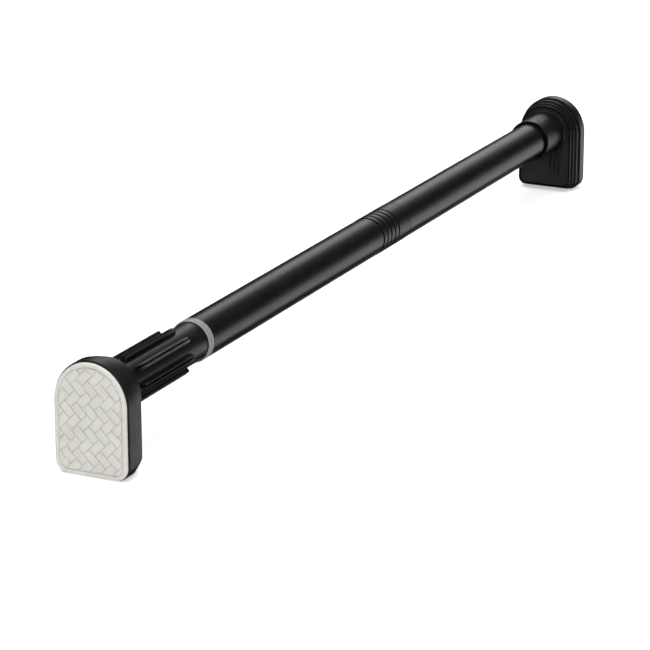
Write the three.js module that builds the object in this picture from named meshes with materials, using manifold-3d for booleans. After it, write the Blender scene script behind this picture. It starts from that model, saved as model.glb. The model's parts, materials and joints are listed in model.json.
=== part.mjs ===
// Telescopic bed cargo bar: a twist-to-tighten load bar that is wedged between two truck-bed walls.
// Millimetres, +Z up. The bar lies along X: the near foot (with the grip) at -X, the far foot at +X.
// It stands on the flat bottoms of its two feet, and the origin is on the floor under its middle.
import * as THREE from "three";
import { mergeVertices } from "three/addons/utils/BufferGeometryUtils.js";
import Module from "manifold-3d";

const wasm = await Module();
wasm.setup();

// ---------- driving dimensions ----------
const BAR_LENGTH = 1018; // pad face to pad face, fully closed
const TUBE_R = 19.05; // both outer tubes: 1.5 inch
const TUBE_WALL = 1.2;
const TUBE_BORE = TUBE_R - TUBE_WALL;
const INNER_TUBE_R = 16.5; // the tube that slides inside
const INNER_TUBE_WALL = 1.5;
const RUN = 0.1; // radial clearance of a turning or sliding fit
const GAP = 0.3; // clearance between pieces that touch

// Foot outline, measured from the bar's axis: an arch on top of a box with round lower corners.
const FLANGE = { half: 34.8, top: 33.8, bottom: -65.4, corner: 13, spring: -3.9 };
const SPRING_RISE = 0.26; // rise of the arch's spring line for each millimetre of inset
const AXIS_HEIGHT = -FLANGE.bottom;
const PAD = { half: 33.2, top: 32.4, bottom: -64.6, corner: 12, spring: -3.9 };

// Insets from the flange's outline: all round, and of the flat bottom.
const STEP = { inset: 1.7, raise: 1.55 }; // of each step from the one before it
const PLUG = { inset: 3.4, pocket: 6.4, end: 11.6 }; // hollow plug on the pad's back
const MOUTH = { inset: 3.1, end: 16 }; // the shell's opening behind the pad
const CAVITY = { inset: 6.0, raise: 5.4, end: 24.5 };
const OPENING = { inset: 18, raise: 24 }; // hole in the ledge
const WINDOW = { inset: 6.0, raise: 5.6 };
const BACK_PLATE = { inset: 7.2, raise: 6.8 };
const STEEL_PLATE = { inset: 7.2, raise: 6.6 };

// Depths into a foot, measured from its pad's face.
const PAD_THICK = 3.2;
const STEP_DEPTHS = [15.5, 22.2, 27.4, 32.6]; // rear edges of the flange and of the three steps
const LEDGE_END = 27.7;
const FOOT_BACK = STEP_DEPTHS[3];
const PLATE_FRONT = LEDGE_END + GAP;
const PLATE_BACK = FOOT_BACK - 0.2;
const STEEL_BACK = CAVITY.end - GAP;
const STEEL_FRONT = STEEL_BACK - 2.4;
const GUSSET = { wide: 1.3, out: 1.9, sunk: 0.5 };
const GUSSETS = [[6.3, -23, -42.2], [11.2, -21, -45.3], [16.1, -16.5, -46.9]]; // across, top, bottom
const SCREW_SPOTS = [[20.5, 4], [-20.5, 4], [20.5, -46], [-20.5, -46]];
const SCREW = { r: 1.6, tip: 1, headR: 3.6, slopeR: 2.4, headDeep: 2.3, rimDeep: 0.8 };

// Positions along the bar, measured from the near pad's face.
const GRIP = { nose: 33.6, end: 174.2, r: 17.6, noseBore: 8.5, bore: 9.6, spigotEnd: 198, spigotR: 12.9 };
const RIB = { from: 53.5, to: 141, r: 21.9, wide: 1.7, pairs: 8, firstAngle: 2.8, halfSpread: 4.45 };
const NUT = { from: 40.3, to: 53.7, flats: 24 };
const CLIP = { from: 194.5, to: 196, r: 16, innerR: 12.1, grooveR: 11.9, washer: 1.1 };
const THRUST_RING = { from: 171.5, face: 174.5, to: 179.5, recessR: 17.9, bore: 13.2 };
const LEFT_TUBE = { from: 179.8, to: 524.8 };
const COLLAR = { from: 525.1, to: 586.3, r: 19.25, spigot: 489, bore: 16.9, mouthR: 18.3, mouthDeep: 16 };
const COLLAR_GROOVES = [526.1, 534.8, 543.6, 552.3, 561.0]; // middles of the five turned grooves
const GROOVE = { wide: 1.9, deep: 1.0, slope: 0.3 };
const RIGHT_TUBE = { from: 586.6, to: BAR_LENGTH - 37 };
const INNER_TUBE = { from: 244, to: 749 };
const SPACER = { long: 26, first: 3, second: 30 };
const CAM = { from: 219.5, to: 236, r: 17.55, boreR: 11.8, eccentric: 0.5, split: 3 };
const SPINDLE = { from: 216, plugEnd: 266, journalR: 11, flangeR: 14 };
const ROD = { r: 8, stubR: 6, stubFrom: 12.6, to: 104, nutThick: 7, nutFlats: 19 };
const ROD_STOP = { r: 9.3, thick: 3, boreR: 2.6, screwR: 2.5, screwDeep: 14, headR: 4.6, headThick: 2.4 };
// Depths from the far pad's face.
const SOCKET = { mouth: 79, r: 22, bore: TUBE_R + 0.35, floor: 35, mouthR: 21.2, mouthDeep: 5, footR: 23.6 };
const BOLT = { headFrom: 13.6, headTo: 19.6, headR: 8.5, r: 5, to: 56 };
const END_PLUG = { from: 37.2, to: 60.2, nutFrom: 44.2, nutTo: 52.2, nutFlats: 17 };
const SWIVEL_WASHER_R = 9.6;

// ---------- solids ----------
const FACETS = 32; // round the bar
const SMALL = 12; // round a small screw
const GRIP_FACETS = 48;
const OVER = 1; // how far a cutter runs past what it cuts

function solid(geometry) {
  const bare = geometry.clone();
  bare.deleteAttribute("normal");
  bare.deleteAttribute("uv");
  const merged = mergeVertices(bare, 1e-4);
  const index = merged.index.array;
  const kept = [];
  for (let i = 0; i < index.length; i += 3) {
    const [a, b, c] = [index[i], index[i + 1], index[i + 2]];
    if (a !== b && b !== c && c !== a) kept.push(a, b, c);
  }
  const vertProperties = Float32Array.from(merged.attributes.position.array);
  return new wasm.Manifold(new wasm.Mesh({ numProp: 3, vertProperties, triVerts: Uint32Array.from(kept) }));
}

function geometryOf(body) {
  const mesh = body.getMesh();
  const geometry = new THREE.BufferGeometry();
  geometry.setAttribute("position", new THREE.BufferAttribute(Float32Array.from(mesh.vertProperties), 3));
  geometry.setIndex(new THREE.BufferAttribute(Uint32Array.from(mesh.triVerts), 1));
  geometry.computeVertexNormals();
  return geometry;
}

// A profile of [x, radius] corners turned about the bar's axis. It runs forwards outside, back inside.
function turned(profile, facets = FACETS) {
  const loop = [...profile, profile[0]].map(([x, r]) => new THREE.Vector2(r, x));
  return solid(new THREE.LatheGeometry(loop, facets).rotateZ(-Math.PI / 2));
}

function ring(outer, inner, from, to, facets = FACETS) {
  return turned([[from, outer], [to, outer], [to, inner], [from, inner]], facets);
}

function disc(radius, from, to, facets = FACETS) {
  return turned([[from, 0], [from, radius], [to, radius], [to, 0]], facets);
}

// A flat outline in Y and Z, drawn out along X.
function drawn(shape, from, to, segments = 5) {
  const geometry = new THREE.ExtrudeGeometry(shape, {
    depth: to - from,
    bevelEnabled: false,
    curveSegments: segments,
  });
  const turn = new THREE.Matrix4().makeBasis(
    new THREE.Vector3(0, 1, 0),
    new THREE.Vector3(0, 0, 1),
    new THREE.Vector3(1, 0, 0),
  );
  return solid(geometry.applyMatrix4(turn).translate(from, 0, 0));
}

function footOutline({ half, top, bottom, corner, spring }) {
  const shape = new THREE.Shape();
  shape.moveTo(-half + corner, bottom);
  shape.lineTo(half - corner, bottom);
  shape.absarc(half - corner, bottom + corner, corner, -Math.PI / 2, 0);
  shape.lineTo(half, spring);
  shape.absellipse(0, spring, half, top - spring, 0, Math.PI);
  shape.lineTo(-half, bottom + corner);
  shape.absarc(-half + corner, bottom + corner, corner, Math.PI, Math.PI * 1.5);
  return shape;
}

// The flange's outline, set in by a distance; its bottom may be set in by another.
function setIn(inset, raise = inset) {
  return {
    half: FLANGE.half - inset,
    top: FLANGE.top - inset,
    bottom: FLANGE.bottom + raise,
    corner: Math.max(FLANGE.corner - inset, 2),
    spring: FLANGE.spring + inset * SPRING_RISE,
  };
}

function hexagon(flats) {
  const shape = new THREE.Shape();
  const corner = flats / Math.sqrt(3);
  for (let i = 0; i < 6; i += 1) {
    const angle = (i * Math.PI) / 3;
    const point = [corner * Math.cos(angle), corner * Math.sin(angle)];
    if (i === 0) shape.moveTo(...point);
    else shape.lineTo(...point);
  }
  return shape;
}

function nut(flats, bore, from, to) {
  return drawn(hexagon(flats), from, to).subtract(disc(bore, from - OVER, to + OVER));
}

// ---------- finishes ----------
function finish(color, roughness, metalness = 0) {
  return new THREE.MeshStandardMaterial({ color, roughness, metalness });
}
const BLACK_STEEL = finish(0x17181a, 0.35, 0.4);
const BLACK_PLASTIC = finish(0x1c1d1f, 0.5);
const GREY_RING = finish(0x8e9093, 0.5);
const GREY_PAD = finish(0xd3d1ca, 0.75);
const BLACK_RUBBER = finish(0x0f0f10, 0.8);
const NYLON = finish(0xe6e2d4, 0.5);
const ZINC = finish(0xb6b9bd, 0.35, 0.9);

const bar = new THREE.Group();
bar.position.z = AXIS_HEIGHT;

const along = new THREE.Group(); // pieces placed by their distance from the near pad's face
along.position.x = -BAR_LENGTH / 2;
const farFoot = new THREE.Group(); // the far foot is the near one's moulding, turned half round
farFoot.position.x = BAR_LENGTH / 2;
farFoot.rotation.z = Math.PI;
bar.add(along, farFoot);

function place(group, name, body, material) {
  const mesh = new THREE.Mesh(geometryOf(body), material);
  mesh.name = name;
  group.add(mesh);
}

// ---------- the pieces that both feet share ----------
// Pad: soft plate with a hollow plug on its back that is pressed into the shell's mouth.
function padBody() {
  const plug = drawn(footOutline(setIn(PLUG.inset)), PAD_THICK - 0.1, PLUG.end);
  const pocket = drawn(footOutline(setIn(PLUG.pocket)), PAD_THICK, PLUG.end + OVER);
  return drawn(footOutline(PAD), 0, PAD_THICK).add(plug.subtract(pocket));
}

// Shell: stepped cup, open towards the pad, with a window in its back for the back plate.
function shellBody() {
  const front = PAD_THICK + GAP;
  let body = drawn(footOutline(FLANGE), front, STEP_DEPTHS[0]);
  for (let i = 1; i < STEP_DEPTHS.length; i += 1) {
    const outline = footOutline(setIn(STEP.inset * i, STEP.raise * i));
    body = body.add(drawn(outline, STEP_DEPTHS[i - 1] - 0.5, STEP_DEPTHS[i]));
  }
  return body
    .subtract(drawn(footOutline(setIn(MOUTH.inset)), front - OVER, MOUTH.end))
    .subtract(drawn(footOutline(setIn(CAVITY.inset, CAVITY.raise)), MOUTH.end - OVER, CAVITY.end))
    .subtract(drawn(footOutline(setIn(WINDOW.inset, WINDOW.raise)), LEDGE_END, FOOT_BACK + OVER))
    .subtract(drawn(footOutline(setIn(OPENING.inset, OPENING.raise)), CAVITY.end - OVER, LEDGE_END + OVER))
    .subtract(screwHoles(CAVITY.end - OVER, LEDGE_END + OVER));
}

function screwHoles(from, to) {
  return SCREW_SPOTS.map(([y, z]) => disc(SCREW.r + RUN, from, to, SMALL).translate([0, y, z]))
    .reduce((a, b) => a.add(b));
}

// Steel plate: carries the thrust of the bar to the screws and the shell.
function steelBody(boreR) {
  return drawn(footOutline(setIn(STEEL_PLATE.inset, STEEL_PLATE.raise)), STEEL_FRONT, STEEL_BACK)
    .subtract(disc(boreR, STEEL_FRONT - OVER, STEEL_BACK + OVER))
    .subtract(screwHoles(STEEL_FRONT - OVER, STEEL_BACK + OVER));
}

// Back plate: sits in the shell's window, with three gusset ribs under the tube's side.
function backPlateBody() {
  let body = drawn(footOutline(setIn(BACK_PLATE.inset, BACK_PLATE.raise)), PLATE_FRONT, PLATE_BACK);
  GUSSETS.forEach(([across, top, bottom]) => {
    const rib = new THREE.BoxGeometry(GUSSET.out + GUSSET.sunk, GUSSET.wide, top - bottom);
    rib.translate(PLATE_BACK + (GUSSET.out - GUSSET.sunk) / 2, across, (top + bottom) / 2);
    body = body.add(solid(rib));
  });
  return body.subtract(screwHoles(PLATE_FRONT - OVER, PLATE_BACK - SCREW.tip + RUN));
}

function screwBody([y, z]) {
  const headBack = STEEL_FRONT - GAP / 2;
  const headFront = headBack - SCREW.headDeep;
  const tip = PLATE_BACK - SCREW.tip;
  return turned(
    [[headFront, 0], [headFront, SCREW.slopeR], [headBack - SCREW.rimDeep, SCREW.headR],
      [headBack, SCREW.headR], [headBack, SCREW.r], [tip - 0.2, SCREW.r], [tip, 0]],
    SMALL,
  ).translate([0, y, z]);
}

function addFoot(group, side, boreR) {
  place(group, `${side}_pad`, padBody(), GREY_PAD);
  place(group, `${side}_shell`, shellBody(), BLACK_PLASTIC);
  place(group, `${side}_steel_plate`, steelBody(boreR), ZINC);
  SCREW_SPOTS.forEach((spot, i) => place(group, `${side}_screw_${i + 1}`, screwBody(spot), ZINC));
}

// ---------- near foot and its screw ----------
addFoot(along, "near", ROD.stubR + RUN);
place(
  along,
  "near_back_plate",
  backPlateBody().subtract(disc(ROD.r + GAP, PLATE_FRONT - OVER, PLATE_BACK + OVER)),
  BLACK_PLASTIC,
);
// Screw rod: a threaded steel rod, drawn at its outer diameter; its thinner stub is bolted to the plate.
place(
  along,
  "screw_rod",
  turned([[ROD.stubFrom, 0], [ROD.stubFrom, ROD.stubR], [CAVITY.end, ROD.stubR], [CAVITY.end, ROD.r],
    [ROD.to - 1, ROD.r], [ROD.to, ROD.r - 1], [ROD.to, 0]])
    .subtract(disc(ROD_STOP.boreR, ROD.to - ROD_STOP.screwDeep - 2, ROD.to + OVER, SMALL)),
  ZINC,
);
place(
  along,
  "rod_lock_nut",
  nut(ROD.nutFlats, ROD.stubR + RUN, STEEL_FRONT - GAP - ROD.nutThick, STEEL_FRONT - GAP),
  ZINC,
);
const stopTo = ROD.to + GAP + ROD_STOP.thick;
const headFrom = stopTo + GAP;
const headTo = headFrom + ROD_STOP.headThick;
const screwTip = ROD.to - ROD_STOP.screwDeep;
place(along, "rod_stop", ring(ROD_STOP.r, ROD_STOP.boreR, ROD.to + GAP, stopTo), NYLON);
place(
  along,
  "rod_stop_screw",
  turned(
    [[screwTip, 0], [screwTip, ROD_STOP.screwR], [headFrom, ROD_STOP.screwR], [headFrom, ROD_STOP.headR],
      [headTo, ROD_STOP.headR], [headTo, 0]],
    SMALL,
  ),
  ZINC,
);

// ---------- grip ----------
// Ribbed sleeve that holds the nut, with a spigot that runs through the thrust ring into the left tube.
const clipGroove = { from: CLIP.from - RUN, to: CLIP.to + 2 * RUN };
let grip = turned(
  [[GRIP.nose, GRIP.noseBore], [GRIP.nose, GRIP.r - 1], [GRIP.nose + 1, GRIP.r], [GRIP.end, GRIP.r],
    [GRIP.end, GRIP.spigotR], [clipGroove.from, GRIP.spigotR], [clipGroove.from, CLIP.grooveR],
    [clipGroove.to, CLIP.grooveR], [clipGroove.to, GRIP.spigotR], [GRIP.spigotEnd, GRIP.spigotR],
    [GRIP.spigotEnd, GRIP.bore], [NUT.to, GRIP.bore], [NUT.to, GRIP.noseBore]],
  GRIP_FACETS,
);
const ribRoot = GRIP.r - 0.8;
const ribShoulder = RIB.r - 1.1;
const ribSide = new THREE.Shape([
  new THREE.Vector2(RIB.from, ribRoot),
  new THREE.Vector2(RIB.to, ribRoot),
  new THREE.Vector2(RIB.to - 0.4, ribShoulder),
  new THREE.Vector2(RIB.to - 2, RIB.r),
  new THREE.Vector2(RIB.from + 2, RIB.r),
  new THREE.Vector2(RIB.from + 0.4, ribShoulder),
]);
const ribBody = solid(
  new THREE.ExtrudeGeometry(ribSide, { depth: RIB.wide, bevelEnabled: false })
    .translate(0, 0, -RIB.wide / 2)
    .rotateX(Math.PI / 2),
);
for (let pair = 0; pair < RIB.pairs; pair += 1) {
  for (const side of [-1, 1]) {
    // A rib drawn on the top of the sleeve is turned about the axis; 90 is straight up.
    const angle = RIB.firstAngle + (pair * 360) / RIB.pairs + side * RIB.halfSpread;
    grip = grip.add(ribBody.rotate([angle - 90, 0, 0]));
  }
}
grip = grip.subtract(drawn(hexagon(NUT.flats + 0.4), NUT.from - 0.2, NUT.to + 0.2));
place(along, "grip_sleeve", grip, BLACK_PLASTIC);
place(along, "drive_nut", nut(NUT.flats, ROD.r + RUN, NUT.from, NUT.to), ZINC);

const clipSplit = new THREE.BoxGeometry(4, 6, 8).translate(CLIP.from, 0, -CLIP.r);
place(along, "grip_clip", ring(CLIP.r, CLIP.innerR, CLIP.from, CLIP.to).subtract(solid(clipSplit)), ZINC);
const washerTo = CLIP.from - GAP;
const washerFrom = washerTo - CLIP.washer;
place(along, "grip_washer", ring(CLIP.r + 0.5, THRUST_RING.bore, washerFrom, washerTo), ZINC);

// ---------- left half ----------
const ringRim = 0.4;
place(
  along,
  "thrust_ring",
  turned(
    [[THRUST_RING.from, THRUST_RING.recessR], [THRUST_RING.from, TUBE_R - ringRim],
      [THRUST_RING.from + ringRim, TUBE_R], [THRUST_RING.to, TUBE_R], [THRUST_RING.to, THRUST_RING.bore],
      [THRUST_RING.face, THRUST_RING.bore], [THRUST_RING.face, THRUST_RING.recessR]],
  ),
  GREY_RING,
);
place(along, "left_tube", ring(TUBE_R, TUBE_BORE, LEFT_TUBE.from, LEFT_TUBE.to), BLACK_STEEL);
const bush = { from: LEFT_TUBE.from + 0.2, to: washerFrom - GAP };
place(along, "mouth_bush", ring(TUBE_BORE - RUN, GRIP.spigotR + 2 * RUN, bush.from, bush.to), NYLON);

// Collar: moulded sleeve with five turned grooves; its thin spigot is glued into the left tube.
const collarSpigotR = TUBE_BORE - 0.15;
const collarProfile = [[COLLAR.spigot, COLLAR.bore], [COLLAR.spigot, collarSpigotR],
  [COLLAR.from, collarSpigotR], [COLLAR.from, COLLAR.r]];
COLLAR_GROOVES.forEach((x) => {
  const half = GROOVE.wide / 2;
  const floor = COLLAR.r - GROOVE.deep;
  const start = Math.max(x - half, COLLAR.from + 0.1);
  collarProfile.push([start, COLLAR.r], [start + GROOVE.slope, floor], [x + half - GROOVE.slope, floor],
    [x + half, COLLAR.r]);
});
collarProfile.push(
  [COLLAR.to - 0.5, COLLAR.r],
  [COLLAR.to, COLLAR.r - 0.5],
  [COLLAR.to, COLLAR.mouthR],
  [COLLAR.to - COLLAR.mouthDeep, COLLAR.mouthR],
  [COLLAR.to - COLLAR.mouthDeep, COLLAR.bore],
);
place(along, "collar", turned(collarProfile), BLACK_PLASTIC);
const guide = { from: COLLAR.to - COLLAR.mouthDeep + 0.2, to: COLLAR.to - 0.4 };
place(along, "guide_bush", ring(COLLAR.mouthR - RUN, INNER_TUBE_R + RUN, guide.from, guide.to), NYLON);

// ---------- twist lock ----------
// Cam ring: split nylon ring on the spindle's off-centre journal; twisting the right half wedges it.
const cam = ring(CAM.r, 0.01, CAM.from, CAM.to)
  .subtract(disc(CAM.boreR, CAM.from - OVER, CAM.to + OVER).translate([0, 0, CAM.eccentric]))
  .subtract(solid(new THREE.BoxGeometry(30, CAM.split, 12).translate((CAM.from + CAM.to) / 2, 0, -16)));
place(along, "cam_ring", cam, NYLON);

// ---------- right half ----------
const journal = disc(SPINDLE.journalR, SPINDLE.from + OVER, CAM.to + OVER).translate([0, 0, CAM.eccentric]);
const spindle = journal
  .add(disc(SPINDLE.flangeR, SPINDLE.from, CAM.from - GAP))
  .add(disc(INNER_TUBE_R - RUN, CAM.to + GAP, INNER_TUBE.from - GAP))
  .add(disc(INNER_TUBE_R - INNER_TUBE_WALL - RUN, INNER_TUBE.from - OVER, SPINDLE.plugEnd));
place(along, "lock_spindle", spindle, ZINC);
place(
  along,
  "inner_tube",
  ring(INNER_TUBE_R, INNER_TUBE_R - INNER_TUBE_WALL, INNER_TUBE.from, INNER_TUBE.to),
  BLACK_STEEL,
);
[RIGHT_TUBE.from + SPACER.first, INNER_TUBE.to - SPACER.second].forEach((from, i) => {
  const spacer = ring(TUBE_BORE - RUN, INNER_TUBE_R + RUN, from, from + SPACER.long);
  place(along, `spacer_bush_${i + 1}`, spacer, NYLON);
});
place(along, "right_tube", ring(TUBE_R, TUBE_BORE, RIGHT_TUBE.from, RIGHT_TUBE.to), BLACK_STEEL);

// End plug, its nut and the bolt that the far foot swivels on.
const nutPocket = drawn(hexagon(END_PLUG.nutFlats + 0.4), END_PLUG.nutFrom - 0.2, END_PLUG.to + OVER);
const plug = ring(TUBE_BORE - RUN, BOLT.r + 0.2, END_PLUG.from, END_PLUG.to).subtract(nutPocket);
place(farFoot, "far_plug", plug, NYLON);
place(farFoot, "plug_nut", nut(END_PLUG.nutFlats, BOLT.r + RUN, END_PLUG.nutFrom, END_PLUG.nutTo), ZINC);
place(
  farFoot,
  "swivel_bolt",
  drawn(hexagon(BOLT.headR * Math.sqrt(3)), BOLT.headFrom, BOLT.headTo)
    .add(disc(BOLT.r, BOLT.headTo - OVER, BOLT.to)),
  ZINC,
);

// ---------- far foot ----------
addFoot(farFoot, "far", BOLT.r + GAP);
const swivelWasher = ring(SWIVEL_WASHER_R, BOLT.r + GAP, BOLT.headTo + GAP, STEEL_FRONT - GAP);
place(farFoot, "swivel_washer", swivelWasher, ZINC);
// The far back plate carries the socket that the right tube stands in.
const socket = turned(
  [[PLATE_BACK - 1, SOCKET.footR], [PLATE_BACK, SOCKET.footR], [PLATE_BACK + 1.2, SOCKET.r + 0.5],
    [PLATE_BACK + 3, SOCKET.r], [SOCKET.mouth - 0.6, SOCKET.r], [SOCKET.mouth, SOCKET.r - 0.5],
    [SOCKET.mouth, SOCKET.mouthR], [SOCKET.mouth - SOCKET.mouthDeep, SOCKET.mouthR],
    [SOCKET.mouth - SOCKET.mouthDeep, SOCKET.bore],
    [SOCKET.floor, SOCKET.bore], [SOCKET.floor, BOLT.r + GAP], [PLATE_BACK - 1, BOLT.r + GAP]],
);
place(
  farFoot,
  "far_back_plate",
  backPlateBody().subtract(disc(BOLT.r + GAP, PLATE_FRONT - OVER, PLATE_BACK + OVER)).add(socket),
  BLACK_PLASTIC,
);
const wiper = { from: SOCKET.mouth - SOCKET.mouthDeep + GAP, to: SOCKET.mouth - 0.2 };
const wiperBody = ring(SOCKET.mouthR - 0.2, SOCKET.bore - RUN, wiper.from, wiper.to);
place(farFoot, "mouth_ring", wiperBody, BLACK_RUBBER);

export default bar;
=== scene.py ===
# The looks of a telescopic bed cargo bar: two black steel tubes with a grooved collar between them,
# a ribbed twist grip behind a grey ring, and two stepped feet with soft grey herringbone pads.
# Metres; the bar lies along X with its gripped foot at -X, standing on the flat bottoms of its feet.
import json
import math

import bmesh
import bpy
from mathutils import Matrix, Vector


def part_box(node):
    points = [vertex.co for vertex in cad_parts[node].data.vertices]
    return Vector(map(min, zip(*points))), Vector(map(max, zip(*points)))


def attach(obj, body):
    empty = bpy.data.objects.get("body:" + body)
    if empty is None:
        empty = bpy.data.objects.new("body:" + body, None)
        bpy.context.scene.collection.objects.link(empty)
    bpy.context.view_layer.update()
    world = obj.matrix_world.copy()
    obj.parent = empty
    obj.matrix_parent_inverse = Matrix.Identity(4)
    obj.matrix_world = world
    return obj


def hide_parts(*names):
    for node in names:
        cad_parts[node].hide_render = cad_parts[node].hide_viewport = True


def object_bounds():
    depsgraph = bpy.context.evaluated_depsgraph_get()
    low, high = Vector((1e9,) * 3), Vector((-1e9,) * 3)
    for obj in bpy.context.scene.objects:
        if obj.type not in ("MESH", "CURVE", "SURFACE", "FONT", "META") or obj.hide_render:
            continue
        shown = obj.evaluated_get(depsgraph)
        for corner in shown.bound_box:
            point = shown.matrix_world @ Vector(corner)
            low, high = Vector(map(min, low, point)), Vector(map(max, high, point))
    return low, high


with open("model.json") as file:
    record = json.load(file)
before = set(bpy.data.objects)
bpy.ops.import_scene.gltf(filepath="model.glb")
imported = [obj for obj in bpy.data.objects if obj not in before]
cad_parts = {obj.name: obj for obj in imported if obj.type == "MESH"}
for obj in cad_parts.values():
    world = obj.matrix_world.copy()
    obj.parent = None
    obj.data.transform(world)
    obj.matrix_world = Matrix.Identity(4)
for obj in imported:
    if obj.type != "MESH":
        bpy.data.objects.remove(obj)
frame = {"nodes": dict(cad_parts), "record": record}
cad_low, cad_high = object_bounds()
cad = frame["nodes"]
MM = 0.001


# ---------- left tube ----------
# The outer tube of the gripped half: 1.5 inch welded steel tube, 1.2 mm wall, cut square and
# deburred, then powder coated satin black. The coat shows a very fine orange-peel ripple.
left_low, left_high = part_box("left_tube")
AXIS_Z = (left_low.z + left_high.z) / 2
TUBE_R = (left_high.z - left_low.z) / 2
TUBE_WALL = 1.2 * MM


def nodes_of(material):
    material.use_nodes = True
    tree = material.node_tree
    return tree, tree.nodes["Principled BSDF"]


def noise(tree, scale, detail=3.0, stretch=(1, 1, 1)):
    """Noise on Object coordinates, scale in cells per metre."""
    where = tree.nodes.new("ShaderNodeTexCoord")
    mapping = tree.nodes.new("ShaderNodeMapping")
    mapping.inputs["Scale"].default_value = stretch
    pattern = tree.nodes.new("ShaderNodeTexNoise")
    pattern.inputs["Scale"].default_value = scale
    pattern.inputs["Detail"].default_value = detail
    tree.links.new(where.outputs["Object"], mapping.inputs["Vector"])
    tree.links.new(mapping.outputs["Vector"], pattern.inputs["Vector"])
    return pattern.outputs["Fac"]


def shades(tree, fac, dark, light, low=0.3, high=0.7):
    """A ramp between two linear colours."""
    ramp = tree.nodes.new("ShaderNodeValToRGB")
    ramp.color_ramp.elements[0].position = low
    ramp.color_ramp.elements[1].position = high
    ramp.color_ramp.elements[0].color = (*dark, 1)
    ramp.color_ramp.elements[1].color = (*light, 1)
    tree.links.new(fac, ramp.inputs["Fac"])
    return ramp.outputs["Color"]


def spread(tree, fac, low, high):
    """A value that runs from low to high over the middle of a noise."""
    span = tree.nodes.new("ShaderNodeMapRange")
    span.inputs["From Min"].default_value = 0.3
    span.inputs["From Max"].default_value = 0.7
    span.inputs["To Min"].default_value = low
    span.inputs["To Max"].default_value = high
    tree.links.new(fac, span.inputs["Value"])
    return span.outputs["Result"]


def bumped(tree, shader, height, distance, strength=1.0):
    bump = tree.nodes.new("ShaderNodeBump")
    bump.inputs["Strength"].default_value = strength
    bump.inputs["Distance"].default_value = distance
    tree.links.new(height, bump.inputs["Height"])
    tree.links.new(bump.outputs["Normal"], shader.inputs["Normal"])
    return bump


def moulded(name, dark, light, rough_low, rough_high, grain=900.0, grain_depth=0.02 * MM):
    """A coated or moulded surface: slight cloudiness, uneven gloss and a fine grain."""
    material = bpy.data.materials.new(name)
    tree, shader = nodes_of(material)
    cloud = noise(tree, 45.0, 4.0)
    tree.links.new(shades(tree, cloud, dark, light), shader.inputs["Base Color"])
    tree.links.new(spread(tree, noise(tree, 160.0, 3.0), rough_low, rough_high), shader.inputs["Roughness"])
    bumped(tree, shader, noise(tree, grain, 2.0), grain_depth, 0.6)
    return material


powder_coat = moulded("powder_coat", (0.0028, 0.0028, 0.003), (0.0045, 0.0045, 0.0048), 0.27, 0.32, 700.0,
                      0.004 * MM)


def hand_over(piece, material, body, slot, *replaced):
    """Finishes a piece: shading with crisp edges, material, body and the nodes it stands for. The slot is
    not used.
    """
    mesh = piece.data
    mesh.materials.clear()
    mesh.materials.append(material)
    mesh.polygons.foreach_set("use_smooth", [True] * len(mesh.polygons))
    mesh.set_sharp_from_angle(angle=math.radians(32))
    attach(piece, body)
    if replaced:
        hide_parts(*replaced)
    return piece


def settle(piece, place=Matrix.Identity(4)):
    """Applies a piece's modifiers, and then its place, so that its object stays at the origin."""
    evaluated = piece.evaluated_get(bpy.context.evaluated_depsgraph_get())
    mesh = bpy.data.meshes.new_from_object(evaluated)
    mesh.name = piece.name
    piece.modifiers.clear()
    piece.data = mesh
    mesh.transform(place)
    if place.determinant() < 0:
        mesh.flip_normals()
    return piece


def new_piece(name, points, faces=(), edges=()):
    mesh = bpy.data.meshes.new(name)
    mesh.from_pydata([tuple(p) for p in points], edges, faces)
    piece = bpy.data.objects.new(name, mesh)
    bpy.context.scene.collection.objects.link(piece)
    return piece


# a turned piece is made about Z, then laid along the bar
ALONG_BAR = Matrix.Translation((0, 0, AXIS_Z)) @ Matrix.Rotation(math.pi / 2, 4, "Y")


def bevel(piece, width, segments=2, angle=30):
    rounding = piece.modifiers.new("rounded_edges", "BEVEL")
    rounding.width = width
    rounding.segments = segments
    rounding.limit_method = "ANGLE"
    rounding.angle_limit = math.radians(angle)
    return rounding


LONG = 3 * MM
END_SUPPORT = 0.8 * MM
STRETCH = 12 * MM


def turned(name, corners, rounding=0.0, steps=96, segments=2):
    """A piece turned about the bar's axis from a closed outline of (x, radius) corners.

    The outline runs forwards along the outside and back along the inside. Long stretches get extra
    points, near each end to keep the rounding's shading off them and at every STRETCH between.
    """
    supported = []
    for i, (x, radius) in enumerate(corners):
        after_x, after_radius = corners[(i + 1) % len(corners)]
        length = math.hypot(after_x - x, after_radius - radius)
        supported.append((x, radius))
        if length > LONG:
            keep = END_SUPPORT / length
            parts = math.ceil(length / STRETCH)
            for share in [keep] + [part / parts for part in range(1, parts)] + [1 - keep]:
                supported.append((x + (after_x - x) * share, radius + (after_radius - radius) * share))
    points = [(radius, 0, x) for x, radius in reversed(supported)]
    loop = [(i, (i + 1) % len(points)) for i in range(len(points))]
    piece = new_piece(name, points, edges=loop)
    lathe = piece.modifiers.new("turning", "SCREW")
    lathe.axis = "Z"
    lathe.steps = steps
    lathe.render_steps = steps
    lathe.use_merge_vertices = True
    lathe.merge_threshold = 0.0005 * MM
    if rounding:
        bevel(piece, rounding, segments)
    settle(piece, ALONG_BAR)
    return piece


def tube_corners(low, high, outer, wall):
    return [(low, outer), (high, outer), (high, outer - wall), (low, outer - wall)]


TUBE_EDGE = 0.25 * MM
left_corners = tube_corners(left_low.x, left_high.x, TUBE_R, TUBE_WALL)
left_tube = turned("left_tube_coated", left_corners, TUBE_EDGE, 128)
hand_over(left_tube, powder_coat, "left_half", "tube_coat", "left_tube")


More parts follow.
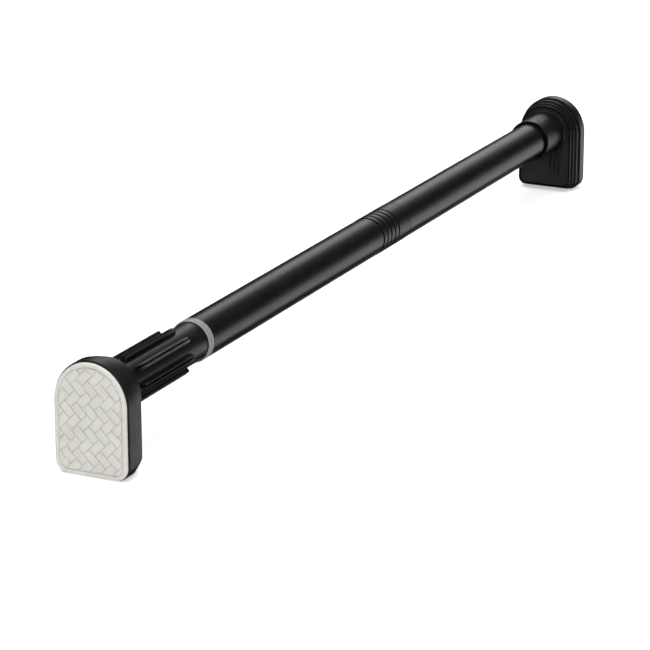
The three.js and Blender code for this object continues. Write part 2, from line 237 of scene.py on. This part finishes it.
# ---------- right tube and inner tube ----------
# The outer tube of the plain half is the same coated stock. The thinner tube inside it slides in
# the collar and is coated too; it only shows once the bar is drawn out.
right_low, right_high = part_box("right_tube")
right_corners = tube_corners(right_low.x, right_high.x, TUBE_R, TUBE_WALL)
right_tube = turned("right_tube_coated", right_corners, TUBE_EDGE, 128)
hand_over(right_tube, powder_coat, "right_half", "tube_coat", "right_tube")

inner_low, inner_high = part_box("inner_tube")
INNER_R = (inner_high.z - inner_low.z) / 2
INNER_WALL = 1.5 * MM
inner_corners = tube_corners(inner_low.x, inner_high.x, INNER_R, INNER_WALL)
inner_tube = turned("inner_tube_coated", inner_corners, TUBE_EDGE, 96)
hand_over(inner_tube, powder_coat, "right_half", "tube_coat", "inner_tube")


# ---------- collar ----------
# The moulded nylon sleeve on the end of the left tube, with five turned grooves at one end and a
# plain skirt at the other, where the right tube comes to rest against its mouth.
collar_low, collar_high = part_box("collar")
COLLAR_R = (collar_high.z - collar_low.z) / 2
COLLAR_FACE = left_high.x + 0.3 * MM
GROOVE_PITCH = 8.73 * MM
GROOVE_WIDE = 2.6 * MM
GROOVE_DEEP = 1.5 * MM
GROOVE_SPARE = 0.4 * MM
MOUTH_LIP = 0.7 * MM
SKIRT_WALL = 0.95 * MM
SKIRT_DEEP = 16 * MM
collar_nylon = moulded("collar_nylon", (0.0026, 0.0026, 0.0028), (0.0045, 0.0045, 0.0048), 0.29, 0.36,
                       1000.0, 0.01 * MM)

spigot_r = TUBE_R - TUBE_WALL - 0.15 * MM
bore_r = INNER_R + 0.4 * MM
corners = [(collar_low.x, spigot_r), (COLLAR_FACE, spigot_r)]
for groove in range(5):
    start = COLLAR_FACE + groove * GROOVE_PITCH - (GROOVE_SPARE if groove else 0)
    floor = COLLAR_R - GROOVE_DEEP
    corners += [(start, floor), (start + GROOVE_WIDE - 0.1 * MM, floor),
                (start + GROOVE_WIDE, COLLAR_R)]
    if groove < 4:
        corners.append((COLLAR_FACE + (groove + 1) * GROOVE_PITCH - GROOVE_SPARE - 0.1 * MM, COLLAR_R))
corners += [(collar_high.x - MOUTH_LIP, COLLAR_R), (collar_high.x, COLLAR_R - MOUTH_LIP),
            (collar_high.x, COLLAR_R - SKIRT_WALL), (collar_high.x - SKIRT_DEEP, COLLAR_R - SKIRT_WALL),
            (collar_high.x - SKIRT_DEEP, bore_r), (collar_low.x, bore_r)]
collar = turned("collar_sleeve", corners, 0.22 * MM, 128)
hand_over(collar, collar_nylon, "left_half", "collar_plastic", "collar")


# ---------- thrust ring ----------
# The grey acetal ring that the grip turns against. It caps the left tube's mouth, has a softly
# rounded rim and is recessed on its face so that the end of the grip runs inside it.
ring_low, ring_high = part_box("thrust_ring")
RING_R = (ring_high.z - ring_low.z) / 2
ring_acetal = moulded("ring_acetal", (0.20, 0.20, 0.202), (0.235, 0.235, 0.238), 0.38, 0.46,
                      1200.0, 0.01 * MM)
RIM_DEEP = 0.9 * MM
RIM_WIDE = 3.1 * MM
LINE_WIDE = 0.5 * MM
LINE_DEEP = 0.45 * MM
RECESS_R = 17.9 * MM
RECESS_DEEP = 3 * MM
RING_BORE_R = 13.2 * MM
rim_end = ring_low.x + RIM_WIDE
ring_corners = [(ring_low.x, RING_R - RIM_DEEP), (ring_low.x + RIM_DEEP, RING_R), (rim_end, RING_R),
                (rim_end, RING_R - LINE_DEEP), (rim_end + LINE_WIDE, RING_R - LINE_DEEP),
                (rim_end + LINE_WIDE, RING_R), (ring_high.x, RING_R), (ring_high.x, RING_BORE_R),
                (ring_low.x + RECESS_DEEP, RING_BORE_R), (ring_low.x + RECESS_DEEP, RECESS_R),
                (ring_low.x, RECESS_R)]
thrust_ring = turned("thrust_ring_moulded", ring_corners, 0.18 * MM, 128)
hand_over(thrust_ring, ring_acetal, "left_half", "ring_grey", "thrust_ring")


# ---------- grip ----------
# The twist grip: a long moulded sleeve with eight pairs of slim ribs, round ended and slightly
# drafted. Its plain tail runs into the thrust ring and its spigot turns inside the left tube.
grip_low, grip_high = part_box("grip_sleeve")
NEAR_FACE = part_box("near_pad")[0].x
GRIP_R = 17.6 * MM
GRIP_BORE_R = 9.6 * MM
RIB_TOP = 21.9 * MM
RIB_HALF = 0.85 * MM
RIB_FROM = NEAR_FACE + 53.5 * MM
RIB_TO = NEAR_FACE + 141 * MM
RIB_END = 1.3 * MM
RIB_FIRST = 2.8
RIB_SIDE = 4.45
NOSE_R = 8.5 * MM
NOSE_DEEP = 7 * MM
SPIGOT_R = 12.9 * MM
grip_abs = moulded("grip_abs", (0.003, 0.003, 0.0032), (0.005, 0.005, 0.0053), 0.30, 0.38,
                   1100.0, 0.01 * MM)

# One rib's section: sideways place as a share of the half width, and height as a share of the rib.
RIB_SECTION = [(-1.32, 0.0), (-1.1, 0.06), (-1.03, 0.45), (-1.0, 0.79), (-0.9, 0.86), (-0.5, 0.935),
               (-0.12, 0.994), (0.12, 0.994), (0.5, 0.935), (0.9, 0.86), (1.0, 0.79), (1.03, 0.45),
               (1.1, 0.06), (1.32, 0.0)]
rib_angles = sorted((RIB_FIRST + 45 * pair + side * RIB_SIDE) % 360
                    for pair in range(8) for side in (-1, 1))


def grip_section(radius, height, narrow):
    """Points round the sleeve at one place along it, with the ribs at a share of their height."""
    ring = []
    for k, angle in enumerate(rib_angles):
        middle = math.radians(angle)
        for sideways, share in RIB_SECTION:
            turn = middle + sideways * RIB_HALF * narrow / GRIP_R
            reach = radius + (RIB_TOP - GRIP_R) * share * height
            ring.append((turn, reach))
        last = k + 1 == len(rib_angles)
        following = math.radians(rib_angles[0] + 360 if last else rib_angles[k + 1])
        start = middle + RIB_SECTION[-1][0] * RIB_HALF / GRIP_R
        end = following + RIB_SECTION[0][0] * RIB_HALF / GRIP_R
        count = 2 if end - start < math.radians(10) else 7
        ring += [(start + (end - start) * i / (count + 1), radius) for i in range(1, count + 1)]
    return ring


tail = ring_low.x + 2.7 * MM
stations = [(grip_low.x, NOSE_R, 0, 1), (grip_low.x, GRIP_R - 1.2 * MM, 0, 1),
            (grip_low.x + 0.35 * MM, GRIP_R - 0.35 * MM, 0, 1), (grip_low.x + 1.2 * MM, GRIP_R, 0, 1),
            (RIB_FROM - 6 * MM, GRIP_R, 0, 1)]
# how a rib's end rises: share of its length, share of its height and share of its width
rise = [(0.0, 0.0, 0.45), (0.03, 0.24, 0.5), (0.12, 0.5, 0.66), (0.3, 0.72, 0.84), (0.6, 0.92, 0.96),
        (1.0, 1.0, 1.0)]
for along, height, narrow in rise:
    stations.append((RIB_FROM + along * RIB_END, GRIP_R, height, narrow))
for part in range(1, 8):
    stations.append((RIB_FROM + (RIB_TO - RIB_FROM) * part / 8, GRIP_R, 1, 1))
for along, height, narrow in reversed(rise):
    stations.append((RIB_TO - along * RIB_END, GRIP_R, height, narrow))
stations += [(RIB_TO + 6 * MM, GRIP_R, 0, 1), (tail, GRIP_R, 0, 1), (tail, SPIGOT_R, 0, 1),
             (grip_high.x, SPIGOT_R, 0, 1), (grip_high.x, GRIP_BORE_R, 0, 1),
             (grip_low.x + NOSE_DEEP, GRIP_BORE_R, 0, 1), (grip_low.x + NOSE_DEEP, NOSE_R, 0, 1)]
points = []
for x, radius, height, narrow in stations:
    for turn, reach in grip_section(radius, height, narrow):
        points.append((x, reach * math.cos(turn), AXIS_Z + reach * math.sin(turn)))


def bridged(rows, around, closed=True):
    """Quads between neighbouring rings of a skin; the last ring joins the first if it is closed."""
    faces = []
    for row in range(rows if closed else rows - 1):
        after = (row + 1) % rows
        for i in range(around):
            j = (i + 1) % around
            faces.append((row * around + i, row * around + j, after * around + j, after * around + i))
    return faces


def outward(piece, merge=0.0):
    """Turns a piece's faces outwards, after welding points that lie closer than merge."""
    skin = bmesh.new()
    skin.from_mesh(piece.data)
    if merge:
        bmesh.ops.remove_doubles(skin, verts=skin.verts, dist=merge)
    bmesh.ops.recalc_face_normals(skin, faces=skin.faces)
    skin.to_mesh(piece.data)
    skin.free()
    return piece


grip = new_piece("grip_ribbed", points, bridged(len(stations), len(points) // len(stations)))
outward(grip)
hand_over(grip, grip_abs, "grip", "grip_plastic", "grip_sleeve")


# ---------- screw rod ----------
# The steel rod that the grip's nut drives: a 16 mm right-hand thread of 5 mm pitch, zinc plated
# and greased. It is fixed in the near foot and shows as the foot is wound out.
rod_low, rod_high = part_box("screw_rod")
ROD_R = (rod_high.z - rod_low.z) / 2
PITCH = 5 * MM
THREAD_DEEP = 1.5 * MM
STUB_R = 6 * MM
THREAD_FROM = NEAR_FACE + 24.5 * MM
zinc = bpy.data.materials.new("zinc_plate")
tree, shader = nodes_of(zinc)
shader.inputs["Metallic"].default_value = 1.0
tree.links.new(shades(tree, noise(tree, 60.0, 4.0), (0.42, 0.43, 0.46), (0.60, 0.61, 0.63)),
               shader.inputs["Base Color"])
tree.links.new(spread(tree, noise(tree, 220.0, 3.0), 0.24, 0.42), shader.inputs["Roughness"])
bumped(tree, shader, noise(tree, 700.0, 3.0), 0.02 * MM, 0.4)

AROUND = 40
points = []
rows = [(rod_low.x, 0.0, False), (rod_low.x, STUB_R, False), (THREAD_FROM, STUB_R, False),
        (THREAD_FROM, ROD_R - THREAD_DEEP, False)]
length = rod_high.x - THREAD_FROM
count = round(length / (PITCH / 8))
rows += [(THREAD_FROM + length * i / count, ROD_R, True) for i in range(1, count)]
rows += [(rod_high.x, ROD_R - THREAD_DEEP, False), (rod_high.x, 0.0, False)]
for x, radius, threaded in rows:
    for i in range(AROUND):
        share = i / AROUND
        reach = radius
        if threaded:
            phase = ((x - THREAD_FROM) / PITCH - share) % 1.0
            flank = min(max((abs(phase - 0.5) * 2 - 0.25) / 0.5, 0.0), 1.0)
            fade = min(1.0, (rod_high.x - x) / PITCH + 0.15)
            reach = ROD_R - THREAD_DEEP * (1 - (1 - flank) * fade)
        angle = 2 * math.pi * share
        points.append((x, reach * math.cos(angle), AXIS_Z + reach * math.sin(angle)))
rod = new_piece("screw_rod_threaded", points, bridged(len(rows), AROUND, closed=False))
outward(rod, merge=0.0005 * MM)
hand_over(rod, zinc, "near_foot", "zinc_steel", "screw_rod")


# ---------- foot shells ----------
# Each foot's body is one black ABS moulding: a smooth flange round the pad, then three narrower
# steps towards the tube, all following the same arch-topped outline. Its edges are softly rounded.
FLANGE_HALF = (cad_high.y - cad_low.y) / 2
FLANGE_TOP = cad_high.z - AXIS_Z
FLANGE_BOTTOM = -AXIS_Z
SPRING = -3.9 * MM
CORNER = 13 * MM
STEP_IN = 1.7 * MM
STEP_UP = 1.55 * MM
PAD_THICK = 3.2 * MM
STEP_ENDS = [15.5 * MM, 22.2 * MM, 27.4 * MM, 32.6 * MM]
MOUTH_END = 16 * MM
CAVITY_END = 24.5 * MM
LEDGE_END = 27.7 * MM
# depth grows from the pad's face towards the tube; the far foot is the same moulding turned round
NEAR_PLACE = Matrix.Translation((cad_low.x, 0, AXIS_Z))
FAR_PLACE = Matrix.Translation((cad_high.x, 0, AXIS_Z)) @ Matrix.Rotation(math.pi, 4, "Z")


def foot_outline(inset, raised=None, arch=48, turn=10, corner=None):
    """The arch-topped outline set in by a distance, as (y, z) points, anticlockwise seen from +X."""
    raised = inset if raised is None else raised
    half = FLANGE_HALF - inset
    bottom = FLANGE_BOTTOM + raised
    round_r = max(CORNER - inset, 1.5 * MM) if corner is None else corner
    spring = SPRING + inset * 0.26
    tall = FLANGE_TOP - inset - spring
    outline = []
    for i in range(arch + 1):
        angle = math.pi * i / arch
        outline.append((half * math.cos(angle), spring + tall * math.sin(angle)))
    for side, start in ((-1, math.pi), (1, 1.5 * math.pi)):
        for i in range(turn + 1):
            angle = start + math.pi / 2 * i / turn
            outline.append((side * (half - round_r) + round_r * math.cos(angle),
                            bottom + round_r + round_r * math.sin(angle)))
    return outline


def lofted(name, rings, closed=True):
    """A skin through rings of the same number of points, each at its depth; the last joins the first."""
    points = [(depth, y, z) for depth, outline in rings for y, z in outline]
    around = len(rings[0][1])
    faces = bridged(len(rings), around, closed)
    if not closed:
        faces.append(tuple(range(around)))
        faces.append(tuple((len(rings) - 1) * around + i for i in range(around)))
    return outward(new_piece(name, points, faces))


foot_abs = moulded("foot_abs", (0.0035, 0.0035, 0.0037), (0.006, 0.006, 0.0063), 0.33, 0.42,
                   1000.0, 0.012 * MM)
KEEP = 0.9 * MM
SEAM = 0.5 * MM


def foot_shell(name, place, body, node):
    front = PAD_THICK + 0.3 * MM
    rings = [(front, foot_outline(0.15 * MM)), (front + KEEP, foot_outline(0.1 * MM)),
             (STEP_ENDS[0] - KEEP, foot_outline(0)), (STEP_ENDS[0], foot_outline(0))]
    for step in (1, 2, 3):
        outline = foot_outline(STEP_IN * step, STEP_UP * step)
        seam = foot_outline(STEP_IN * step + SEAM, STEP_UP * step + SEAM)
        start = STEP_ENDS[step - 1]
        rings += [(start, seam), (start + SEAM, seam), (start + SEAM * 1.6, outline),
                  (start + SEAM * 1.6 + KEEP, outline), (STEP_ENDS[step] - KEEP, outline),
                  (STEP_ENDS[step], outline)]
    window = foot_outline(6.0 * MM, 5.6 * MM)
    opening = foot_outline(18 * MM, 24 * MM)
    cavity = foot_outline(6.0 * MM, 5.4 * MM)
    mouth = foot_outline(3.1 * MM)
    rings += [(STEP_ENDS[3], window), (LEDGE_END, window), (LEDGE_END, opening), (CAVITY_END, opening),
              (CAVITY_END, cavity), (MOUTH_END, cavity), (MOUTH_END, mouth), (front, mouth)]
    piece = lofted(name, rings)
    bevel(piece, 0.3 * MM, 3, 25)
    settle(piece, place)
    return hand_over(piece, foot_abs, body, "foot_plastic", node)


foot_shell("near_shell_stepped", NEAR_PLACE, "near_foot", "near_shell")
foot_shell("far_shell_stepped", FAR_PLACE, "far_foot", "far_shell")


# ---------- back plates ----------
# The plate set in each shell's back, a dark seam all round it, with three short gusset ribs beside
# the tube. The far one carries the socket for the tube, which flares a little where it meets the plate.
PLATE_FRONT = 28 * MM
PLATE_BACK = 32.4 * MM
SOCKET_R = 22 * MM
SOCKET_MOUTH = 79 * MM
SOCKET_BORE = TUBE_R + 0.35 * MM
SOCKET_FLOOR = 35 * MM
WIPER_SEAT_R = 21.2 * MM
WIPER_SEAT_DEEP = 5 * MM
BOLT_HOLE_R = 5.3 * MM
GUSSETS = [(6.3, -19, -42.2), (11.2, -17, -45.3), (16.1, -12, -46.9)]


def joined(piece, others):
    """Welds other solids on to a piece, closes any sliver left open and removes the others."""
    for other in others:
        union = piece.modifiers.new("weld", "BOOLEAN")
        union.operation = "UNION"
        union.solver = "EXACT"
        union.object = other
    settle(piece)
    skin = bmesh.new()
    skin.from_mesh(piece.data)
    bmesh.ops.holes_fill(skin, edges=[edge for edge in skin.edges if edge.is_boundary], sides=6)
    skin.to_mesh(piece.data)
    skin.free()
    for other in others:
        bpy.data.objects.remove(other)
    return piece


def gusset(y, top, bottom):
    """A thin upright rib with a rounded back, drawn as (depth, y, z)."""
    half = 0.6 * MM
    low, high = bottom * MM, top * MM
    proud = PLATE_BACK + 1.8 * MM
    outline = [(PLATE_BACK - 1 * MM, low - 0.2 * MM), (PLATE_BACK + 0.2 * MM, low - 0.2 * MM),
               (proud, low + 1 * MM), (proud, high), (PLATE_BACK - 1 * MM, high)]
    points = [(depth, y * MM + side * half, z) for side in (-1, 1) for depth, z in outline]
    count = len(outline)
    faces = [tuple(range(count)), tuple(count + i for i in reversed(range(count)))]
    faces += [(i, count + i, count + (i + 1) % count, (i + 1) % count) for i in range(count)]
    piece = outward(new_piece("gusset", points, faces))
    bevel(piece, 0.5 * MM, 3, 40)
    return settle(piece)


def back_plate(name, place, body, node, socket):
    outline = foot_outline(7.2 * MM, 6.8 * MM)
    plate = lofted(name, [(PLATE_FRONT, outline), (PLATE_BACK, outline)], closed=False)
    bevel(plate, 0.4 * MM, 3, 40)
    settle(plate)
    extras = [gusset(*rib) for rib in GUSSETS]
    if socket:
        flare = [(SOCKET_R + 1.9 * MM, 0), (SOCKET_R + 1.2 * MM, 0.35 * MM),
                 (SOCKET_R + 0.55 * MM, 1.0 * MM), (SOCKET_R + 0.15 * MM, 2.0 * MM), (SOCKET_R, 3.2 * MM)]
        seat = SOCKET_MOUTH - WIPER_SEAT_DEEP
        corners = [(PLATE_BACK - 1 * MM, SOCKET_R + 1.9 * MM)]
        corners += [(PLATE_BACK + up, radius) for radius, up in flare]
        corners += [(SOCKET_MOUTH - 0.5 * MM, SOCKET_R), (SOCKET_MOUTH - 0.15 * MM, SOCKET_R - 0.15 * MM),
                    (SOCKET_MOUTH, SOCKET_R - 0.45 * MM), (SOCKET_MOUTH, WIPER_SEAT_R),
                    (seat, WIPER_SEAT_R), (seat, SOCKET_BORE), (SOCKET_FLOOR, SOCKET_BORE),
                    (SOCKET_FLOOR, BOLT_HOLE_R), (PLATE_BACK - 1 * MM, BOLT_HOLE_R)]
        tower = turned("socket", corners, 0, 96)
        tower.data.transform(Matrix.Translation((0, 0, -AXIS_Z)))
        extras.append(tower)
    joined(plate, extras)
    plate.data.transform(place)
    return hand_over(plate, foot_abs, body, "foot_plastic", node)


back_plate("near_back_plate_ribbed", NEAR_PLACE, "near_foot", "near_back_plate", socket=False)
back_plate("far_back_plate_socket", FAR_PLACE, "far_foot", "far_back_plate", socket=True)

# The rubber wiper pressed into the socket's mouth; it shows as a dull dark band round the tube.
mouth_rubber = moulded("mouth_rubber", (0.0012, 0.0012, 0.0012), (0.0025, 0.0025, 0.0025), 0.6, 0.75,
                       1300.0, 0.02 * MM)
wiper_low, wiper_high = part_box("mouth_ring")
wiper_r = (wiper_high.z - wiper_low.z) / 2
wiper_corners = [(wiper_low.x, wiper_r), (wiper_high.x, wiper_r), (wiper_high.x, TUBE_R + 0.25 * MM),
                 (wiper_low.x + 1.2 * MM, TUBE_R + 0.25 * MM), (wiper_low.x, TUBE_R + 1.1 * MM)]
wiper = turned("mouth_ring_rubber", wiper_corners, 0.2 * MM, 96)
hand_over(wiper, mouth_rubber, "far_foot", "mouth_rubber", "mouth_ring")


# ---------- pads ----------
# The soft pads: light grey thermoplastic rubber, moulded with a raised border and a sunk field of
# slanting blocks laid like herringbone parquet, each block softly rounded and parted by a groove.
PAD_SIDE_IN = 1.55 * MM
PAD_UP = 0.8 * MM
BORDER = 3.7 * MM
FIELD_DEEP = 0.95 * MM
BLOCK_RISE = 0.75 * MM
BLOCK_WIDE = 7.6 * MM
BLOCK_LONG = 13.75 * MM
LONG_GROOVE = 0.42 * MM
SHORT_GROOVE = 0.14 * MM
BLOCK_SLOPE = 0.36 * MM
PATTERN_AT = Vector((22.96 * MM, 17.5 * MM))
DOWN_SLOPE = Vector((-1, -1)).normalized()
UP_SLOPE = Vector((-1, 1)).normalized()


def clipped(shape, fence):
    """A convex shape cut back to a convex fence that runs anticlockwise."""
    for k, start in enumerate(fence):
        end = fence[(k + 1) % len(fence)]
        kept = []
        for i, here in enumerate(shape):
            before = shape[i - 1]
            side_here = (end - start).cross(here - start)
            side_before = (end - start).cross(before - start)
            if (side_here >= 0) != (side_before >= 0):
                kept.append(before + (here - before) * (side_before / (side_before - side_here)))
            if side_here >= 0:
                kept.append(here)
        shape = kept
        if len(shape) < 3:
            return []
    return shape


def shrunk(shape):
    """A convex anticlockwise shape moved in from its sides, further from those that run down the slope."""
    count = len(shape)
    result = list(shape)
    for i in range(count):
        start, end = shape[i], shape[(i + 1) % count]
        run = (end - start)
        if run.length < 1e-7:
            continue
        downhill = abs(run.normalized().dot(DOWN_SLOPE)) > 0.98
        inward = Vector((-run.y, run.x)).normalized() * (LONG_GROOVE if downhill else SHORT_GROOVE)
        kept = []
        for k, here in enumerate(result):
            before = result[k - 1]
            side_here = run.cross(here - start - inward)
            side_before = run.cross(before - start - inward)
            if (side_here >= 0) != (side_before >= 0):
                kept.append(before + (here - before) * (side_before / (side_before - side_here)))
            if side_here >= 0:
                kept.append(here)
        result = kept
        if len(result) < 3:
            return []
    return result


def area_of(shape):
    return sum(shape[i - 1].cross(p) for i, p in enumerate(shape)) / 2


def pad_outline(inset):
    return foot_outline(PAD_SIDE_IN + inset, PAD_UP + inset)


def pad_blocks():
    """The herringbone blocks inside the pad's border, as convex (y, z) shapes."""
    fence = [Vector(p) for p in pad_outline(BORDER + 0.45 * MM)]
    blocks = []
    for row in range(-8, 9):
        for step in range(-10, 11):
            corner = PATTERN_AT + (DOWN_SLOPE + UP_SLOPE) * BLOCK_WIDE * step
            corner = corner + (DOWN_SLOPE - UP_SLOPE) * BLOCK_LONG * row
            foot = corner + DOWN_SLOPE * BLOCK_LONG
            lying = [corner, foot, foot - UP_SLOPE * BLOCK_WIDE, corner - UP_SLOPE * BLOCK_WIDE]
            side = foot + DOWN_SLOPE * BLOCK_WIDE
            rising = [foot, side, side - UP_SLOPE * BLOCK_LONG, foot - UP_SLOPE * BLOCK_LONG]
            for block in (lying, rising):
                shape = block if area_of(block) > 0 else block[::-1]
                shape = clipped(shape, fence)
                if len(shape) < 3:
                    continue
                shape = shrunk(shape)
                if len(shape) >= 3 and area_of(shape) > 2.0 * MM * MM:
                    blocks.append(shape)
    return blocks


pad_tpr = bpy.data.materials.new("pad_tpr")
tree, shader = nodes_of(pad_tpr)
tree.links.new(shades(tree, noise(tree, 70.0, 5.0), (0.52, 0.51, 0.475), (0.575, 0.565, 0.53)),
               shader.inputs["Base Color"])
tree.links.new(spread(tree, noise(tree, 300.0, 3.0), 0.62, 0.78), shader.inputs["Roughness"])
shader.inputs["Subsurface Weight"].default_value = 0.06
shader.inputs["Subsurface Scale"].default_value = 1.5 * MM
bumped(tree, shader, noise(tree, 1500.0, 3.0), 0.03 * MM, 0.5)


def pad(name, place, body, node):
    edge = [(PAD_THICK - 0.4 * MM, 0.0), (1.3 * MM, 0.0), (0.75 * MM, 0.12 * MM), (0.35 * MM, 0.4 * MM),
            (0.1 * MM, 0.85 * MM), (0.0, 1.4 * MM)]
    rings = [(PAD_THICK, foot_outline(3.6 * MM)), (PAD_THICK, pad_outline(0.4 * MM))]
    rings += [(depth, pad_outline(inset)) for depth, inset in edge]
    rings += [(0.0, pad_outline(BORDER - 1.0 * MM)), (0.12 * MM, pad_outline(BORDER - 0.55 * MM)),
              (0.4 * MM, pad_outline(BORDER - 0.25 * MM)), (FIELD_DEEP, pad_outline(BORDER))]
    plug = [(11.6 * MM, foot_outline(6.4 * MM)), (11.6 * MM, foot_outline(3.6 * MM))]
    inner = [(PAD_THICK, foot_outline(6.4 * MM))]
    # the sunk field is closed by one face; the hollow plug on the back by another
    field = rings[-1]
    skin = bmesh.new()
    loops = [skin_ring(skin, depth, outline) for depth, outline in inner + plug + rings]
    for first, second in zip(loops, loops[1:]):
        for i in range(len(first)):
            j = (i + 1) % len(first)
            skin.faces.new((first[i], first[j], second[j], second[i]))
    skin.faces.new(loops[0])
    skin.faces.new(loops[-1])
    bmesh.ops.recalc_face_normals(skin, faces=skin.faces)
    for shape in pad_blocks():
        add_block(skin, shape, field[0])
    mesh = bpy.data.meshes.new(name)
    skin.to_mesh(mesh)
    skin.free()
    piece = bpy.data.objects.new(name, mesh)
    bpy.context.scene.collection.objects.link(piece)
    mesh.transform(place)
    return hand_over(piece, pad_tpr, body, "pad", node)


def skin_ring(skin, depth, outline):
    return [skin.verts.new((depth, y, z)) for y, z in outline]


def add_block(skin, shape, ground):
    """One rounded block that stands on the field; it is sunk a little into it at its foot."""
    levels = [(ground + 0.05 * MM, 0.0), (ground - BLOCK_RISE * 0.55, BLOCK_SLOPE * 0.25),
              (ground - BLOCK_RISE * 0.88, BLOCK_SLOPE * 0.6), (ground - BLOCK_RISE, BLOCK_SLOPE * 1.2)]
    centre = sum(shape, Vector((0, 0))) / len(shape)
    loops = []
    for depth, inset in levels:
        loop = []
        for point in shape:
            arm = centre - point
            moved = point + arm.normalized() * min(inset * 1.3, arm.length * 0.4)
            loop.append(skin.verts.new((depth, *moved)))
        loops.append(loop)
    made = []
    for first, second in zip(loops, loops[1:]):
        for i in range(len(first)):
            j = (i + 1) % len(first)
            made.append(skin.faces.new((first[i], first[j], second[j], second[i])))
    made.append(skin.faces.new(loops[0]))
    made.append(skin.faces.new(loops[-1]))
    bmesh.ops.recalc_face_normals(skin, faces=made)


pad("near_pad_parquet", NEAR_PLACE, "near_foot", "near_pad")
pad("far_pad_parquet", FAR_PLACE, "far_foot", "far_pad")


# ---------- hidden parts ----------
# The pieces inside the tubes and feet keep their plain shapes: zinc-plated fasteners and plates,
# and natural nylon bushes, plugs and stops. They show only when the bar is drawn out.
nylon = moulded("natural_nylon", (0.66, 0.63, 0.55), (0.74, 0.71, 0.63), 0.4, 0.52, 500.0, 0.03 * MM)
finishes = {"zinc_steel": zinc, "nylon": nylon}
for part in frame["record"]["subparts"]:
    finish = finishes.get(part["material_slot"])
    if finish:
        node = cad[part["node"]]
        node.data.materials.clear()
        node.data.materials.append(finish)


# ---------- floor, light and camera ----------
# A plain pale floor, one large soft light overhead, a key light on the pads' side, and long white
# cards beside each end of the bar whose reflections draw the soft bands along the tubes.
stage = bpy.data.materials.new("floor_paint")
tree, shader = nodes_of(stage)
shader.inputs["Base Color"].default_value = (0.8, 0.8, 0.8, 1)
shader.inputs["Emission Color"].default_value = (1, 1, 1, 1)
shader.inputs["Emission Strength"].default_value = 0.5
shader.inputs["Roughness"].default_value = 1.0
shader.inputs["Specular IOR Level"].default_value = 0.0
FLOOR = 14.0
SQUARE = ((-1, -1), (1, -1), (1, 1), (-1, 1))
ground = new_piece("floor", [(FLOOR * a, FLOOR * b, 0) for a, b in SQUARE], [(0, 1, 2, 3)])
ground.data.materials.append(stage)
ground.visible_glossy = False

MIDDLE = Vector((0, 0, AXIS_Z))


def area_light(name, place, aim, wide, tall, watts):
    data = bpy.data.lights.new(name, "AREA")
    data.shape = "RECTANGLE"
    data.size = wide
    data.size_y = tall
    data.energy = watts
    light = bpy.data.objects.new(name, data)
    light.location = place
    light.rotation_euler = (aim - Vector(place)).to_track_quat("-Z", "Y").to_euler()
    bpy.context.scene.collection.objects.link(light)
    light.visible_glossy = False


area_light("overhead", (-0.8, 0, 4.2), MIDDLE, 5.0, 5.0, 330)
area_light("key", (-3.2, -2.6, 2.4), Vector((-0.5, 0, 0.05)), 1.2, 1.2, 55)


def card(name, towards, wide, tall, glow, distance=12.0):
    """A white card square to a direction from the bar's middle; only reflections see it."""
    direction = Vector(towards).normalized()
    centre = MIDDLE + direction * distance
    sideways = Vector((1, 0, 0)).cross(direction).normalized()
    upright = direction.cross(sideways)
    corners = [centre + sideways * wide / 2 * a + upright * tall / 2 * b for a, b in SQUARE]
    board = new_piece(name, corners, [(0, 1, 2, 3)])
    paint = bpy.data.materials.new(name)
    tree, shader = nodes_of(paint)
    shader.inputs["Base Color"].default_value = (0, 0, 0, 1)
    shader.inputs["Emission Color"].default_value = (1, 1, 1, 1)
    shader.inputs["Emission Strength"].default_value = glow
    board.data.materials.append(paint)
    board.visible_camera = False
    board.visible_diffuse = False
    board.visible_shadow = False


card("far_upper_card", (0.858, 0.27, 0.44), 5.0, 10.0, 1.4)
card("far_lower_card", (0.858, -0.42, -0.29), 5.4, 10.0, 1.1)
card("far_under_card", (0.858, 0.34, -0.38), 4.6, 8.0, 0.6)
card("far_other_card", (0.45, -0.62, 0.64), 4.5, 6.0, 0.8)
card("near_other_card", (-0.6, 0.55, 0.6), 4.5, 8.0, 1.0)
card("near_upper_card", (-0.858, -0.27, 0.44), 5.0, 10.0, 0.9)
card("near_lower_card", (-0.858, 0.42, -0.29), 7.0, 10.0, 0.5)
card("side_card", (-0.41, -0.86, -0.28), 8.0, 6.0, 2.2)
card("top_card", (-0.3, 0.41, 0.86), 6.0, 6.0, 1.6)

world = bpy.data.worlds.new("studio")
world.use_nodes = True
world.node_tree.nodes["Background"].inputs["Color"].default_value = (1, 1, 1, 1)
world.node_tree.nodes["Background"].inputs["Strength"].default_value = 0.03
bpy.context.scene.world = world

CAMERA_BACK = 1.9664
CAMERA_SIDE = -1.1578
CAMERA_UP = 0.7941
SENSOR_WIDE = 36
LENS = 166.20923
camera_data = bpy.data.cameras.new("camera")
camera_data.lens = LENS
camera_data.sensor_width = SENSOR_WIDE
camera = bpy.data.objects.new("camera", camera_data)
camera.location = (cad_low.x - CAMERA_BACK, CAMERA_SIDE, AXIS_Z + CAMERA_UP)
look = Vector((0.8578, 0.4134, -0.3054))
camera.rotation_euler = look.to_track_quat("-Z", "Y").to_euler()
bpy.context.scene.collection.objects.link(camera)
bpy.context.scene.camera = camera
bpy.context.scene.view_settings.view_transform = "Standard"
